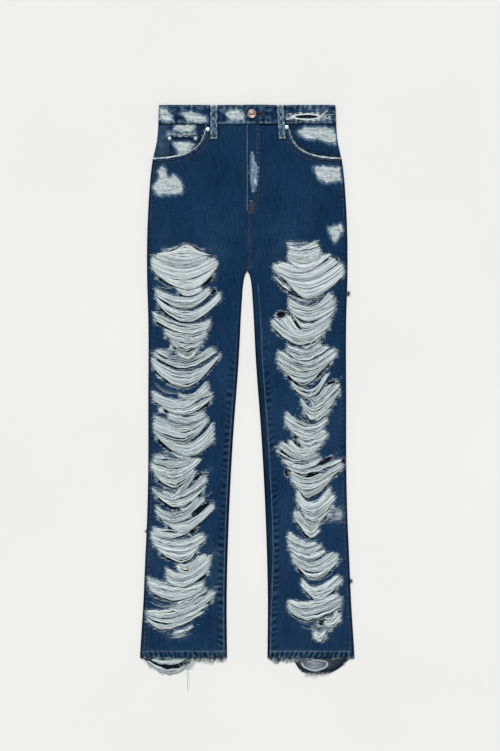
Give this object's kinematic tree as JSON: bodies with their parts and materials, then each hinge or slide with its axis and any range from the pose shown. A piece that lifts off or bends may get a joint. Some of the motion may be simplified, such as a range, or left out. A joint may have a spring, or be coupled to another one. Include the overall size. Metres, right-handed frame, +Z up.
{
  "type": "ripped jeans",
  "caption": "Straight-leg denim jeans laid flat, front up, with rows of horizontal rips bridged by hanging white weft threads, scooped pockets, buttoned waistband and frayed hems.",
  "frame": {"origin": "centre of the garment's box, on the surface that it lies on", "axes": "+Y from the hems to the waist, +X towards the wearer's left, +Z up from the surface out of the front"},
  "size_m": [0.411, 1.133, 0.0141],
  "materials": {
    "denim": "indigo cotton twill, matt, worn pale at seams and edges",
    "bared_weft": "undyed cotton weft threads, matt and fuzzy",
    "button_metal": "aged copper plating",
    "rivet_metal": "worn silver plating"
  },
  "bodies": {
    "root": {"front_right": "denim", "front_left": "denim", "back_right": "denim", "back_left": "denim", "yoke_right": "denim", "yoke_left": "denim", "back_pocket_right": "denim", "back_pocket_left": "denim", "pocket_facing_right": "denim", "pocket_facing_left": "denim", "coin_pocket": "denim", "fly": "denim", "waistband_right": "denim", "waistband_left": "denim", "waistband_back": "denim", "belt_loop_front_right": "denim", "belt_loop_front_left": "denim", "belt_loop_back_right": "denim", "belt_loop_back_centre": "denim", "belt_loop_back_left": "denim", "rip_right_01": "bared_weft", "rip_right_02": "bared_weft", "rip_right_03": "bared_weft", "rip_right_04": "bared_weft", "rip_right_05": "bared_weft", "rip_right_06": "bared_weft", "rip_right_07": "bared_weft", "rip_right_08": "bared_weft", "rip_right_09": "bared_weft", "rip_right_10": "bared_weft", "rip_right_11": "bared_weft", "rip_right_12": "bared_weft", "rip_right_13": "bared_weft", "rip_left_01": "bared_weft", "rip_left_02": "bared_weft", "rip_left_03": "bared_weft", "rip_left_04": "bared_weft", "rip_left_05": "bared_weft", "rip_left_06": "bared_weft", "rip_left_07": "bared_weft", "rip_left_08": "bared_weft", "rip_left_09": "bared_weft", "rip_left_10": "bared_weft", "rip_left_11": "bared_weft", "rip_left_12": "bared_weft", "rip_left_13": "bared_weft", "rip_left_14": "bared_weft", "rip_left_15": "bared_weft", "rip_left_16": "bared_weft", "rip_left_17": "bared_weft", "fray_front_right": "bared_weft", "fray_front_left": "bared_weft", "fray_back_right": "bared_weft", "fray_back_left": "bared_weft", "button": "button_metal", "rivet_mouth_right": "rivet_metal", "rivet_mouth_left": "rivet_metal", "rivet_coin_outer": "rivet_metal", "rivet_coin_inner": "rivet_metal"}
  },
  "joints": []
}
